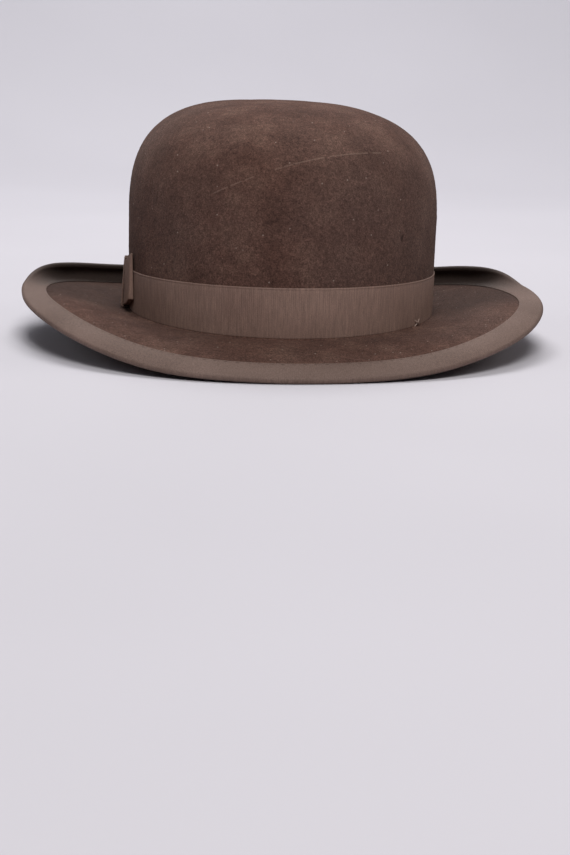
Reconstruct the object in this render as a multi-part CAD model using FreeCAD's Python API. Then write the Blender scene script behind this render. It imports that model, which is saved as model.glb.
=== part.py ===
import FreeCAD, Part
import math
import os

# A bowler hat of stiffened felt with a ribbon band, a flat side bow, a ribbon-bound
# brim, a leather sweatband on a reed, and a satin lining.
#
# Millimetres and degrees. The origin is the centre of the head opening, where the
# crown meets the brim. +X is the wearer's left, -Y is the front, and +Z is up.
# Angles run counter-clockwise from +X, so the front is at -90 and the bow at 180.

# Crown: an oval wall that swells a little up to its shoulder, under a flattened dome.
CROWN_HALF_WIDTH = 85.0
CROWN_HALF_LENGTH = 103.5
CROWN_HEIGHT = 117.0
CROWN_SWELL = 1.0
SHOULDER_HEIGHT = 49.4
DOME_EXPONENT = 3.0
CROWN_TIP = 1.9
FELT = 2.0

# The break is the line where the crown turns into the brim.
BREAK_SIDE_RISE = 1.0
BREAK_FRONT_RISE = 0.35
BREAK_SEAT = 0.015

# Brim: a gently bent ring out to the line where its curl starts, then an arc as wide as
# the binding. The sides are rolled up, the front dips and the back curls steeply.
CURL_HALF_WIDTH = 131.9
CURL_HALF_LENGTH = 141.3
CURL_EXPONENT = 2.25
CURL_TURN = -5.4
CURL_SHIFT_Y = 3.3
BREAK_SLOPE = -0.02

# How heights and slopes vary round the brim: the mean, then the shares of the waves
# sin a, cos 2a, sin 2a, sin 3a, cos 4a and cos 6a.
CURL_HEIGHTS = (1.88, 0.53, 8.06, 0.16, -1.62, 0.31, -0.79)
CURL_SLOPES = (-4.8, 10.5, 1.6, 0, 0, 0, 0)
RIM_SLOPES = (4.1, 48.9, 8.8, 0, 10.4, 2.9, 0)

# Over the back of the hat the rim rolls up further, past upright, by this many degrees. It
# comes in between these two distances behind the middle, as shares of the hat's length.
BACK_ROLL = 81.6
BACK_ROLL_FIRST = 0.12
BACK_ROLL_LAST = 0.5
RIM_ROUND = 0.5

# Ribbons.
RIBBON = 0.45
BAND_WIDTH = 25.4
BAND_TOP_SIDE_DROP = 1.0
BAND_LIFT = 0.5
BINDING_WIDTH = 12.7
BINDING = 0.45
BINDING_GAP = 0.12
LAP_MIDDLE = -18.0
LAP_HALF_LENGTH = 9.0
BINDING_LAP_HALF_LENGTH = 5.0
GAP = 0.06

# Flat bow on the wearer's right. Its front loop rises, and it is thicker towards its foot.
BOW_ANGLE = 180.0
BOW_HALF_LENGTH = 29.0
BOW_FOOT = 1.6
BOW_WIDTH = 25.4
BOW_LIFT = 6.7
BOW_OFFSET = 1.15
BOW_LOOP_DEPTH = 1.05
BOW_FLARE = 1.0
KNOT_HALF_WIDTH = 6.0
KNOT_SQUARENESS = 10.0
KNOT_RIBBON = 0.4
KNOT_MARGIN = 0.9

# Sweatband, reed and lining. An inset is measured inward from the outside of the crown.
SWEATBAND_INSET = 2.95
SWEATBAND = 0.9
SWEATBAND_FOOT = 0.8
SWEATBAND_HEIGHT = 44.0
SWEATBAND_LEAN = 1.2
SEAM_TAPE_HALF_WIDTH = 5.0
SEAM_TAPE = 0.22
REED_INSET = 3.5
REED_DROP = 0.6
REED_RADIUS = 0.65
CASING_BORE_RADIUS = 0.75
CASING_RADIUS = 1.25
CASING_FIRST = 110.0
CASING_LAST = 430.0
LINING_INSET = 2.25
LINING = 0.3
LINING_FOOT_STATION = 0.12
LINING_JOIN_STATION = 1.5
LINING_JOIN_SEAM = 0.015
PIPING_RADIUS = 0.7
SMALL_RIBBON = 0.25
SMALL_BOW_HALF_LENGTH = 13.0
SMALL_BOW_FOOT = 9.0
SMALL_BOW_WIDTH = 6.0
SMALL_BOW_DEPTH = 1.6
SMALL_KNOT_HALF_WIDTH = 2.0
LABEL_DISTANCE = 34.0
LABEL_HALF_LENGTH = 10.0
LABEL_FOOT = 12.0
LABEL_WIDTH = 9.0
LABEL = 0.3

# Threads.
THREAD = 0.2
STITCH = 2.6
STITCH_MARGIN = 0.1
BINDING_STITCHES = 160
SWEATBAND_STITCHES = 120
SWEATBAND_STITCH_FOOT = 1.8
SWEATBAND_STITCH_RISE = 2.4
SEAM_STITCHES = 12
TACK_REACH = 1.6
CROSSED_TACK_ANGLE = -41.0
CROSSED_TACK_HEIGHT = 1.2
CROSSED_TACK_REACH = 2.6
CROSSED_TACK_THREAD = 0.3

# Points round each ring, and the gap that mending a solid may close.
COLUMNS = 60
TOLERANCE = 0.01


def radians(degrees):
    return math.radians(degrees)


def front(angle):
    return -math.sin(angle)


def oval_radius(angle, half_x, half_y, exponent=2.0):
    across = abs(math.cos(angle) / half_x) ** exponent
    along = abs(math.sin(angle) / half_y) ** exponent
    return (across + along) ** (-1.0 / exponent)


def break_height(angle):
    return BREAK_SIDE_RISE * math.cos(2 * angle) + BREAK_FRONT_RISE * front(angle)


def crown_at(angle, station, inset=0.0):
    """Station 0 is the break, 1 the shoulder and 2 the top of the dome."""
    radius = oval_radius(angle, CROWN_HALF_WIDTH, CROWN_HALF_LENGTH)
    if station <= 1:
        radius = radius * (1 + CROWN_SWELL / CROWN_HALF_WIDTH * math.sin(station * math.pi / 2)) - inset
        height = break_height(angle) * (1 - station) + SHOULDER_HEIGHT * station
    else:
        turn = (min(station, 2.0) - 1) * math.pi / 2
        power = 2 / DOME_EXPONENT
        radius = (radius * (1 + CROWN_SWELL / CROWN_HALF_WIDTH) - inset) * max(math.cos(turn), 0.0) ** power
        if station >= 2:
            radius = 0.0
        height = SHOULDER_HEIGHT + (CROWN_HEIGHT - SHOULDER_HEIGHT - inset) * math.sin(turn) ** power
    x = radius * math.cos(angle)
    tip = CROWN_TIP * (height / CROWN_HEIGHT) ** 2 * x / CROWN_HALF_WIDTH
    return FreeCAD.Vector(x, radius * math.sin(angle), height - tip)


def wall_at(angle, height, inset=0.0):
    """A point on the crown's wall at a height above the break line."""
    foot = break_height(angle)
    return crown_at(angle, height / (SHOULDER_HEIGHT - foot), inset)


def around(angle, shares):
    """A height or a slope that varies round the hat."""
    waves = (1, math.sin(angle), math.cos(2 * angle), math.sin(2 * angle), math.sin(3 * angle),
             math.cos(4 * angle), math.cos(6 * angle))
    return sum(share * wave for share, wave in zip(shares, waves))


def rim_slope(angle):
    """The brim's slope at its rim, in degrees."""
    share = (math.sin(angle) - BACK_ROLL_FIRST) / (BACK_ROLL_LAST - BACK_ROLL_FIRST)
    share = min(1.0, max(0.0, share))
    return around(angle, RIM_SLOPES) + BACK_ROLL * share ** 2 * (3 - 2 * share)


def brim_top(angle, t):
    """The brim's upper surface, from the break (t = 0) to where the curl starts (t = 1),
    and on round the curl's arc to the rim (t = 2)."""
    radius = oval_radius(angle + radians(CURL_TURN), CURL_HALF_WIDTH, CURL_HALF_LENGTH, CURL_EXPONENT)
    inner = crown_at(angle, 0.0)
    curl = FreeCAD.Vector(radius * math.cos(angle), CURL_SHIFT_Y + radius * math.sin(angle),
                          around(angle, CURL_HEIGHTS))
    reach = math.hypot(curl.x - inner.x, curl.y - inner.y)
    slope = radians(around(angle, CURL_SLOPES))
    if t <= 1:
        out = reach * t
        height = (inner.z * (2 * t ** 3 - 3 * t ** 2 + 1) + curl.z * (3 * t ** 2 - 2 * t ** 3)
                  + BREAK_SLOPE * reach * (t ** 3 - 2 * t ** 2 + t)
                  + math.tan(slope) * reach * (t ** 3 - t ** 2))
    else:
        bend = radians(rim_slope(angle)) - slope
        turned = slope + bend * (t - 1)
        out = reach + BINDING_WIDTH / bend * (math.sin(turned) - math.sin(slope))
        height = curl.z - BINDING_WIDTH / bend * (math.cos(turned) - math.cos(slope))
    point = inner + (curl - inner) * (out / reach)
    return FreeCAD.Vector(point.x, point.y, height)


def brim_at(angle, t, depth=0.0, beyond=0.0):
    """A point below the brim's upper surface, or beyond its rim in the surface's own direction."""
    step = 0.002
    along = brim_top(angle + step, t) - brim_top(angle - step, t)
    outward = brim_top(angle, t + step) - brim_top(angle, t - step)
    up = outward.cross(along)
    up.normalize()
    outward.normalize()
    return brim_top(angle, t) - up * depth + outward * beyond


# Surfaces. A patch is a list of rows of points, and a smooth surface runs through them.

def poles_through(points, wraps):
    """Poles of a cubic curve that passes through the points at its knots."""
    poles = []
    last = len(points) - 1
    for i, point in enumerate(points):
        if last < 3 or (not wraps and i in (0, last)):
            poles.append(point)
            continue
        before = points[i - 1]
        after = points[(i + 1) % len(points)]
        poles.append(point - (before - point * 2 + after) * (1 / 6))
    return poles


def knots_for(count, wraps):
    if wraps:
        return list(range(count + 1)), [1] * (count + 1), 3
    degree = min(3, count - 1)
    knots = list(range(count - degree + 1))
    return knots, [degree + 1] + [1] * (len(knots) - 2) + [degree + 1], degree


def patch_face(rows, wraps):
    """A face through the rows. Each row is a closed ring when wraps is true."""
    rows = [poles_through(row, wraps) for row in rows]
    columns = [poles_through(list(column), False) for column in zip(*rows)]
    u_knots, u_mults, u_degree = knots_for(len(columns), wraps)
    v_knots, v_mults, v_degree = knots_for(len(rows), False)
    surface = Part.BSplineSurface()
    surface.buildFromPolesMultsKnots(columns, u_mults, v_mults, u_knots, v_knots,
                                     wraps, False, u_degree, v_degree)
    return surface.toShape()


def solid_from(faces):
    sewn = Part.makeCompound(faces)
    sewn.sewShape()
    solid = Part.Solid(sewn.Shells[0] if sewn.Shells else sewn)
    if solid.Volume < 0:
        solid.reverse()
    if not solid.isValid():
        solid.fix(TOLERANCE, TOLERANCE, TOLERANCE)
    return solid


def spread(first, last, count):
    return [first + (last - first) * i / (count - 1) for i in range(count)]


def ring_angles():
    return [2 * math.pi * i / COLUMNS for i in range(COLUMNS)]


def ring_solid(corners, rows_between, place):
    """A closed ring. corners are the corners of its cross-section in order, ending on the
    first again, and place(angle, corner) puts a cross-section position at an angle."""
    faces = []
    for start, end, count in zip(corners, corners[1:], rows_between):
        rows = []
        for share in spread(0.0, 1.0, count):
            corner = [a + (b - a) * share for a, b in zip(start, end)]
            rows.append([place(angle, corner) for angle in ring_angles()])
        faces.append(patch_face(rows, True))
    return solid_from(faces)


def block_solid(place, counts):
    """A closed block: place(u, v, w) maps the unit cube, with counts points each way."""
    faces = []
    for fixed in range(3):
        first, second = [axis for axis in range(3) if axis != fixed]
        for side in (0.0, 1.0):
            rows = []
            for b in spread(0.0, 1.0, counts[second]):
                row = []
                for a in spread(0.0, 1.0, counts[first]):
                    at = [side, side, side]
                    at[first] = a
                    at[second] = b
                    row.append(place(*at))
                rows.append(row)
            faces.append(patch_face(rows, False))
    return solid_from(faces)


def loop_solid(outline, place, layers):
    """A folded ribbon: outline(share, side) is its closed path seen along its width, side 0
    its outer and side 1 its inner face, and place(position, v) stands it at a share v of
    the ribbon's width."""
    shares = [i / COLUMNS for i in range(COLUMNS)]

    def wall(side, across):
        return [[place(outline(share, side), v) for share in shares] for v in across]

    def hem(v):
        return [[place(outline(share, side), v) for share in shares] for side in (0, 1)]

    across = spread(0.0, 1.0, layers)
    faces = [patch_face(wall(0, across), True), patch_face(wall(1, across), True),
             patch_face(hem(0.0), True), patch_face(hem(1.0), True)]
    return solid_from(faces)


def thread_between(start, end, radius):
    return Part.makeCylinder(radius, (end - start).Length, start, end - start)


# Felt: crown and brim are moulded from one hood and meet at the break

def felt_rows(place, shares):
    return [[place(angle, share) for angle in ring_angles()] for share in shares]


def break_corner(angle):
    """The inner corner under the break, where the inside of the crown meets the underside."""
    return crown_at(angle, 0.0, FELT) - FreeCAD.Vector(0, 0, FELT)


def break_seat(angle, share):
    """The short slanting face at which the crown and the brim meet, from top to underside."""
    top = brim_at(angle, 0.0)
    return top + (brim_at(angle, BREAK_SEAT, FELT) - top) * share


def felt_crown():
    dome = spread(2.0, 1.0, 14)
    wall = spread(1.0, 0.0, 6)

    def foot(angle, share):
        seat = break_seat(angle, 1.0)
        return seat + (break_corner(angle) - seat) * share

    def inside(angle, station):
        if station < 0:
            return break_corner(angle)
        return crown_at(angle, station, FELT)

    faces = [patch_face(felt_rows(crown_at, dome), True),
             patch_face(felt_rows(crown_at, wall), True),
             patch_face(felt_rows(break_seat, [0.0, 1.0]), True),
             patch_face(felt_rows(foot, [0.0, 1.0]), True),
             patch_face(felt_rows(inside, [-1.0] + spread(0.04, 1.0, 6)), True),
             patch_face(felt_rows(inside, dome[::-1]), True)]
    return solid_from(faces)


def felt_brim():
    def rim(angle, share):
        return brim_at(angle, 2.0, FELT * share, RIM_ROUND * math.sin(share * math.pi))

    def under(angle, t):
        return brim_at(angle, t, FELT)

    faces = [patch_face(felt_rows(break_seat, [1.0, 0.0]), True),
             patch_face(felt_rows(brim_at, spread(0.0, 1.0, 9)), True),
             patch_face(felt_rows(brim_at, spread(1.0, 2.0, 8)), True),
             patch_face(felt_rows(rim, spread(0.0, 1.0, 4)), True),
             patch_face(felt_rows(under, spread(2.0, 1.0, 8)), True),
             patch_face(felt_rows(under, spread(1.0, BREAK_SEAT, 9)), True)]
    return solid_from(faces)


# Hat band and bow

def band_top(angle):
    return BAND_WIDTH - BAND_TOP_SIDE_DROP * math.cos(2 * angle) - break_height(angle)


def hat_band():
    def place(angle, corner):
        inset, share = corner
        return wall_at(angle, BAND_LIFT + (band_top(angle) - BAND_LIFT) * share, inset)

    inner = -GAP
    outer = -GAP - RIBBON
    corners = [(outer, 0.0), (outer, 1.0), (inner, 1.0), (inner, 0.0), (outer, 0.0)]
    return ring_solid(corners, [6, 2, 6, 2], place)


def side_point(distance, offset, height):
    """A point by the crown's wall: distance along the wall from the bow's middle towards
    the front, offset off the felt, and height above the break."""
    angle = radians(BOW_ANGLE) + distance / (CROWN_HALF_WIDTH + offset)
    return wall_at(angle, height, -offset)


def hat_band_lap():
    """The ribbon's free end, lapped over the band where the bow's rear loop hides it."""
    inner = 2 * GAP + RIBBON

    def place(u, v, w):
        distance = LAP_MIDDLE + LAP_HALF_LENGTH * (2 * u - 1)
        head = band_top(radians(BOW_ANGLE))
        return side_point(distance, inner + RIBBON * w, BAND_LIFT + (head - BAND_LIFT) * v)

    return block_solid(place, (6, 4, 2))


def loop_outline(first, last, near, far, share, thickness):
    """A flat closed loop between two distances and two offsets, with round ends."""
    radius = (far - near) / 2
    run = last - first - 2 * radius
    lap = 2 * run + 2 * math.pi * radius
    gone = share * lap
    middle = (near + far) / 2
    size = radius - thickness
    if gone < run:
        return first + radius + gone, middle - size
    gone -= run
    if gone < math.pi * radius:
        turn = gone / radius
        return last - radius + size * math.sin(turn), middle - size * math.cos(turn)
    gone -= math.pi * radius
    if gone < run:
        return last - radius - gone, middle + size
    turn = (gone - run) / radius
    return first + radius - size * math.sin(turn), middle + size * math.cos(turn)


def bow_flare(offset, v):
    """How much further a point stands off the crown, the more the lower it is in the bow."""
    return BOW_FLARE * (1 - v) * max(0.0, offset - BOW_OFFSET) / BOW_LOOP_DEPTH


def bow_foot(direction, distance):
    lift = BOW_LIFT if direction > 0 else 0.0
    return BOW_FOOT + lift * (distance / BOW_HALF_LENGTH) ** 2


def bow_loop(direction):
    """One loop of the bow, from beside its middle out to its fold."""
    def outline(share, side):
        return loop_outline(0.4, BOW_HALF_LENGTH, BOW_OFFSET, BOW_OFFSET + BOW_LOOP_DEPTH,
                            share, RIBBON * side)

    def place(position, v):
        distance, offset = position
        height = bow_foot(direction, distance) + BOW_WIDTH * v
        return side_point(direction * distance, offset + bow_flare(offset, v), height)

    return loop_solid(outline, place, 5)


def wrap_outline(near, far, foot, head, share, thickness):
    """A closed wrap with rounded corners round a bow's middle."""
    turn = 2 * math.pi * share
    cosine = math.cos(turn)
    sine = math.sin(turn)
    size = (abs(cosine) ** KNOT_SQUARENESS + abs(sine) ** KNOT_SQUARENESS) ** (-1 / KNOT_SQUARENESS)
    wide = (far - near) / 2 - thickness
    tall = (head - foot) / 2 - thickness
    return (near + far) / 2 + wide * cosine * size, (foot + head) / 2 + tall * sine * size


def bow_knot():
    """The short ribbon that wraps the middle of the bow."""
    near = BOW_OFFSET - KNOT_RIBBON - 2 * GAP
    far = BOW_OFFSET + BOW_LOOP_DEPTH + KNOT_RIBBON + 2 * GAP
    foot = BOW_FOOT - KNOT_MARGIN
    head = bow_foot(1, KNOT_HALF_WIDTH) + BOW_WIDTH + KNOT_MARGIN

    def outline(share, side):
        return wrap_outline(near, far, foot, head, share, KNOT_RIBBON * side)

    def place(position, v):
        offset, height = position
        rise = min(1.0, max(0.0, (height - BOW_FOOT) / BOW_WIDTH))
        return side_point(KNOT_HALF_WIDTH * (2 * v - 1), offset + bow_flare(offset, rise), height)

    return loop_solid(outline, place, 4)


def bow_stitches():
    """Four bar tacks beside the knot, which hold the bow's loops flat."""
    offset = BOW_OFFSET + BOW_LOOP_DEPTH + THREAD + GAP
    distance = KNOT_HALF_WIDTH + 2.0
    bars = []
    for v in (0.3, 0.7):
        for direction in (-1, 1):
            stand = offset + bow_flare(offset, v)
            height = bow_foot(direction, distance) + BOW_WIDTH * v
            start = side_point(direction * distance, stand, height)
            end = side_point(direction * distance, stand, height + TACK_REACH)
            bars.append(thread_between(start, end, THREAD))
    return Part.makeCompound(bars)


# Thread tacks that hold the band to the crown

def tack_at(angle, height, reach, offset, radius):
    """Two crossed stitches, one lying over the other."""
    turn = reach / CROWN_HALF_LENGTH
    lower = -(RIBBON + 2 * GAP + radius + offset)
    upper = lower - 2 * radius - GAP
    first = thread_between(wall_at(angle - turn, height, lower),
                           wall_at(angle + turn, height + reach, lower), radius)
    second = thread_between(wall_at(angle + turn, height, upper),
                            wall_at(angle - turn, height + reach, upper), radius)
    return [first, second]


def hat_band_tacks():
    """Small crossed tacks at the band's upper edge, round the back half of the hat."""
    threads = []
    for degrees in (15, 50, 90, 135):
        angle = radians(degrees)
        threads += tack_at(angle, band_top(angle) - 2 * TACK_REACH, TACK_REACH, 0.0, THREAD)
    return Part.makeCompound(threads)


def crossed_tack():
    """The larger crossed tack near the band's lower edge, at the wearer's left front."""
    sag = 0.1
    return Part.makeCompound(tack_at(radians(CROSSED_TACK_ANGLE), CROSSED_TACK_HEIGHT,
                                     CROSSED_TACK_REACH, sag, CROSSED_TACK_THREAD))


# Brim binding: one ribbon folded over the rim

def binding_at(angle, path, lift):
    """path runs 0 to 1 outward over the brim, to 2 round the rim and to 3 back under it.
    lift is the distance off the felt."""
    if path <= 1:
        return brim_at(angle, 1 + path, -lift)
    if path <= 2:
        share = path - 1
        depth = (FELT + 2 * lift) * share - lift
        return brim_at(angle, 2.0, depth, (RIM_ROUND + lift) * math.sin(share * math.pi))
    return brim_at(angle, 4 - path, FELT + lift)


def brim_binding():
    def place(angle, corner):
        path, lift = corner
        return binding_at(angle, path, lift)

    inner = BINDING_GAP
    outer = BINDING_GAP + BINDING
    corners = [(0, outer), (1, outer), (2, outer), (3, outer), (3, inner), (2, inner), (1, inner),
               (0, inner), (0, outer)]
    return ring_solid(corners, [10, 4, 10, 2, 10, 4, 10, 2], place)


def binding_lap():
    """The binding's free end, turned over its start at the back of the brim."""
    inner = 2 * BINDING_GAP + BINDING
    half = BINDING_LAP_HALF_LENGTH / CURL_HALF_LENGTH

    def place(u, v, w):
        return binding_at(radians(90) + half * (2 * u - 1), v, inner + BINDING * w)

    return block_solid(place, (4, 10, 2))


def binding_stitches():
    """Short stitches along the binding's inner edges, above and below the brim."""
    lift = BINDING_GAP + BINDING + THREAD + GAP
    half = STITCH / 2 / CURL_HALF_LENGTH
    threads = []
    for i in range(BINDING_STITCHES):
        angle = 2 * math.pi * (i + 0.5) / BINDING_STITCHES
        if abs(angle - radians(90)) < 2 * BINDING_LAP_HALF_LENGTH / CURL_HALF_LENGTH:
            continue
        for path in (STITCH_MARGIN, 3 - STITCH_MARGIN):
            threads.append(thread_between(binding_at(angle - half, path, lift),
                                          binding_at(angle + half, path, lift), THREAD))
    return Part.makeCompound(threads)


# Sweatband

def sweatband_face(height):
    """The inset of the sweatband's inner face at a height."""
    lean = SWEATBAND_LEAN * (height - SWEATBAND_FOOT) / (SWEATBAND_HEIGHT - SWEATBAND_FOOT)
    return SWEATBAND_INSET + SWEATBAND + lean


def sweatband():
    def place(angle, corner):
        height, depth = corner
        return wall_at(angle, height, sweatband_face(height) - SWEATBAND * depth)

    foot = SWEATBAND_FOOT
    head = SWEATBAND_HEIGHT
    corners = [(foot, 1), (head, 1), (head, 0), (foot, 0), (foot, 1)]
    return ring_solid(corners, [6, 2, 6, 2], place)


def back_point(distance, rise, height):
    """A point by the sweatband's inner face: distance along it from the back's middle
    towards the wearer's right, and rise off it into the hat."""
    angle = radians(90) + distance / CROWN_HALF_WIDTH
    return wall_at(angle, height, sweatband_face(height) + rise)


def sweatband_seam_tape():
    """A tape behind the leather, over the joint at the back."""
    def place(u, v, w):
        height = 3.0 + (SWEATBAND_HEIGHT - 6.0) * v
        behind = -SWEATBAND - GAP - SEAM_TAPE * w
        return back_point(SEAM_TAPE_HALF_WIDTH * (2 * u - 1), behind, height)

    return block_solid(place, (4, 5, 2))


def sweatband_seam_stitches():
    """Slanted stitches that close the leather's joint at the back."""
    threads = []
    for height in spread(SMALL_BOW_FOOT + SMALL_BOW_WIDTH + 4, SWEATBAND_HEIGHT - 3, SEAM_STITCHES):
        threads.append(thread_between(back_point(-STITCH / 2, THREAD + GAP, height - STITCH / 4),
                                      back_point(STITCH / 2, THREAD + GAP, height + STITCH / 4), THREAD))
    return Part.makeCompound(threads)


def sweatband_stitches():
    """The zigzag round the sweatband's foot, which holds it to the reed's casing."""
    threads = []
    half = math.pi / SWEATBAND_STITCHES * 0.8
    for i in range(SWEATBAND_STITCHES):
        angle = 2 * math.pi * i / SWEATBAND_STITCHES
        rise = SWEATBAND_STITCH_RISE * (1 if i % 2 else -1) / 2
        middle = SWEATBAND_STITCH_FOOT + SWEATBAND_STITCH_RISE / 2
        inset = sweatband_face(middle + abs(rise)) + THREAD + GAP
        threads.append(thread_between(wall_at(angle - half, middle - rise, inset),
                                      wall_at(angle + half, middle + rise, inset), THREAD))
    return Part.makeCompound(threads)


def about_centre(centre, angle, turn, radius):
    """A point on an upright round section that faces outward at an angle."""
    out = FreeCAD.Vector(math.cos(angle), math.sin(angle), 0)
    return centre + out * (radius * math.cos(turn)) + FreeCAD.Vector(0, 0, radius * math.sin(turn))


def about_reed(angle, turn, radius):
    return about_centre(wall_at(angle, -REED_DROP, REED_INSET), angle, turn, radius)


def reed():
    def place(angle, corner):
        return about_reed(angle, corner[0] * math.pi / 2, REED_RADIUS)

    return ring_solid([(0,), (1,), (2,), (3,), (4,)], [6, 6, 6, 6], place)


def reed_casing():
    """The folded strip round the reed, open along its top where it is sewn to the leather."""
    def place(angle, corner):
        turn, radius = corner
        return about_reed(angle, radians(turn), radius)

    first = (CASING_FIRST, CASING_RADIUS)
    corners = [first, (CASING_LAST, CASING_RADIUS), (CASING_LAST, CASING_BORE_RADIUS),
               (CASING_FIRST, CASING_BORE_RADIUS), first]
    return ring_solid(corners, [24, 2, 24, 2], place)


def sweatband_bow_loop(direction):
    """One loop of the small flat bow that covers the joint's foot."""
    near = 2 * GAP + SMALL_RIBBON
    far = near + SMALL_BOW_DEPTH

    def outline(share, side):
        return loop_outline(0.3, SMALL_BOW_HALF_LENGTH, near, far, share, SMALL_RIBBON * side)

    def place(position, v):
        distance, rise = position
        return back_point(direction * distance, rise, SMALL_BOW_FOOT + SMALL_BOW_WIDTH * v)

    return loop_solid(outline, place, 4)


def sweatband_bow_knot():
    near = GAP
    far = near + SMALL_BOW_DEPTH + 2 * SMALL_RIBBON + 2 * GAP
    margin = SMALL_RIBBON + 6 * GAP

    def outline(share, side):
        return wrap_outline(near, far, SMALL_BOW_FOOT - margin, SMALL_BOW_FOOT + SMALL_BOW_WIDTH + margin,
                            share, SMALL_RIBBON * side)

    def place(position, v):
        rise, height = position
        return back_point(SMALL_KNOT_HALF_WIDTH * (2 * v - 1), rise, height)

    return loop_solid(outline, place, 4)


def size_label():
    """A small blank label on the sweatband, beside the bow."""
    def place(u, v, w):
        distance = LABEL_DISTANCE + LABEL_HALF_LENGTH * (2 * u - 1)
        return back_point(distance, GAP + LABEL * w, LABEL_FOOT + LABEL_WIDTH * v)

    return block_solid(place, (4, 4, 2))


# Lining: a wall of satin sewn to an oval tip, with a piped seam between them

def lining_wall():
    def place(angle, corner):
        station, side = corner
        return crown_at(angle, station, LINING_INSET + LINING * side)

    foot = LINING_FOOT_STATION
    head = LINING_JOIN_STATION - LINING_JOIN_SEAM
    corners = [(foot, 0), (1, 0), (head, 0), (head, 1), (1, 1), (foot, 1), (foot, 0)]
    return ring_solid(corners, [6, 8, 2, 8, 6, 2], place)


def lining_tip():
    start = LINING_JOIN_STATION + LINING_JOIN_SEAM
    dome = spread(2.0, start, 10)

    def rows(stations, insets):
        return [[crown_at(angle, station, inset) for angle in ring_angles()]
                for station, inset in zip(stations, insets)]

    upper = LINING_INSET
    lower = LINING_INSET + LINING
    faces = [patch_face(rows(dome, [upper] * len(dome)), True),
             patch_face(rows([start, start], [upper, lower]), True),
             patch_face(rows(dome[::-1], [lower] * len(dome)), True)]
    return solid_from(faces)


def lining_piping():
    def place(angle, corner):
        centre = crown_at(angle, LINING_JOIN_STATION, LINING_INSET + LINING + PIPING_RADIUS + 2 * GAP)
        return about_centre(centre, angle, corner[0] * math.pi / 2, PIPING_RADIUS)

    return ring_solid([(0,), (1,), (2,), (3,), (4,)], [6, 6, 6, 6], place)


def main():
    os.makedirs("parts", exist_ok=True)
    for name, solid in (
            ("felt_crown", felt_crown()),
            ("felt_brim", felt_brim()),
            ("hat_band", hat_band()),
            ("hat_band_lap", hat_band_lap()),
            ("hat_band_tacks", hat_band_tacks()),
            ("crossed_tack", crossed_tack()),
            ("bow_front_loop", bow_loop(1)),
            ("bow_rear_loop", bow_loop(-1)),
            ("bow_knot", bow_knot()),
            ("bow_stitches", bow_stitches()),
            ("brim_binding", brim_binding()),
            ("binding_lap", binding_lap()),
            ("binding_stitches", binding_stitches()),
            ("sweatband", sweatband()),
            ("sweatband_seam_tape", sweatband_seam_tape()),
            ("sweatband_seam_stitches", sweatband_seam_stitches()),
            ("sweatband_stitches", sweatband_stitches()),
            ("reed", reed()),
            ("reed_casing", reed_casing()),
            ("sweatband_bow_right_loop", sweatband_bow_loop(1)),
            ("sweatband_bow_left_loop", sweatband_bow_loop(-1)),
            ("sweatband_bow_knot", sweatband_bow_knot()),
            ("size_label", size_label()),
            ("lining_wall", lining_wall()),
            ("lining_tip", lining_tip()),
            ("lining_piping", lining_piping())):
        solid.exportStep("parts/" + name + ".step")
        print(name, "solids", len(solid.Solids), "valid", solid.isValid(), "volume", round(solid.Volume, 1))


main()
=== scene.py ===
import bpy
import bmesh
import math
import numpy as np
from mathutils import Matrix, Vector


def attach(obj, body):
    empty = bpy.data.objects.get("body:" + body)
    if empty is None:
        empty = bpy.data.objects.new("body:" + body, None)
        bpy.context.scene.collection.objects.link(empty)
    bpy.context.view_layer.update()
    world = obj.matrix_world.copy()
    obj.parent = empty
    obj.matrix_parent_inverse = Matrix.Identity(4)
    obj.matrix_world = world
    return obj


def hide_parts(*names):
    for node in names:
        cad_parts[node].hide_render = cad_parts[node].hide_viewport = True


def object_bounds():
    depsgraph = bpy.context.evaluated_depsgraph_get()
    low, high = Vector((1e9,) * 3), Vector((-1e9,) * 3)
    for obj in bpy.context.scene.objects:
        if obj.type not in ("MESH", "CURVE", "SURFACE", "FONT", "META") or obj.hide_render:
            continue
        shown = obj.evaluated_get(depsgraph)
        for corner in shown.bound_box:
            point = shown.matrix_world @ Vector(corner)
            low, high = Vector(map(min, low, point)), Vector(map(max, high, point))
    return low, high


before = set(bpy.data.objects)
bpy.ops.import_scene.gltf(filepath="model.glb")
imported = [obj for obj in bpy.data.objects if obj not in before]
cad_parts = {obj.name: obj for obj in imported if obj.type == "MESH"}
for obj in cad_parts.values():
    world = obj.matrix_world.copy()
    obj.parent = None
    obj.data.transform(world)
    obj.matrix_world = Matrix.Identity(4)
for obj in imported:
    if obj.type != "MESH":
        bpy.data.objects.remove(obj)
cad_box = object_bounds()

# The hat's driving sizes in millimetres and degrees. The frame's parts were built with the same
# sizes, except BACK_ROLL, BOW_FLARE, CROSSED_TACK_HEIGHT and CROSSED_TACK_REACH, which differ.
# +X is the wearer's left, -Y the front, +Z up; angles run counter-clockwise from +X.
MM = 0.001
CROWN_HALF_WIDTH = 85.0
CROWN_HALF_LENGTH = 103.5
CROWN_HEIGHT = 117.0
CROWN_SWELL = 1.0
SHOULDER_HEIGHT = 49.4
DOME_EXPONENT = 3.0
CROWN_TIP = 1.9
FELT = 2.0
BREAK_SIDE_RISE = 1.0
BREAK_FRONT_RISE = 0.35
BREAK_ROUND = 2.2
MEAN_BRIM_REACH = 42.0
FELT_INNER_FOOT = -1.4

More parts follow.
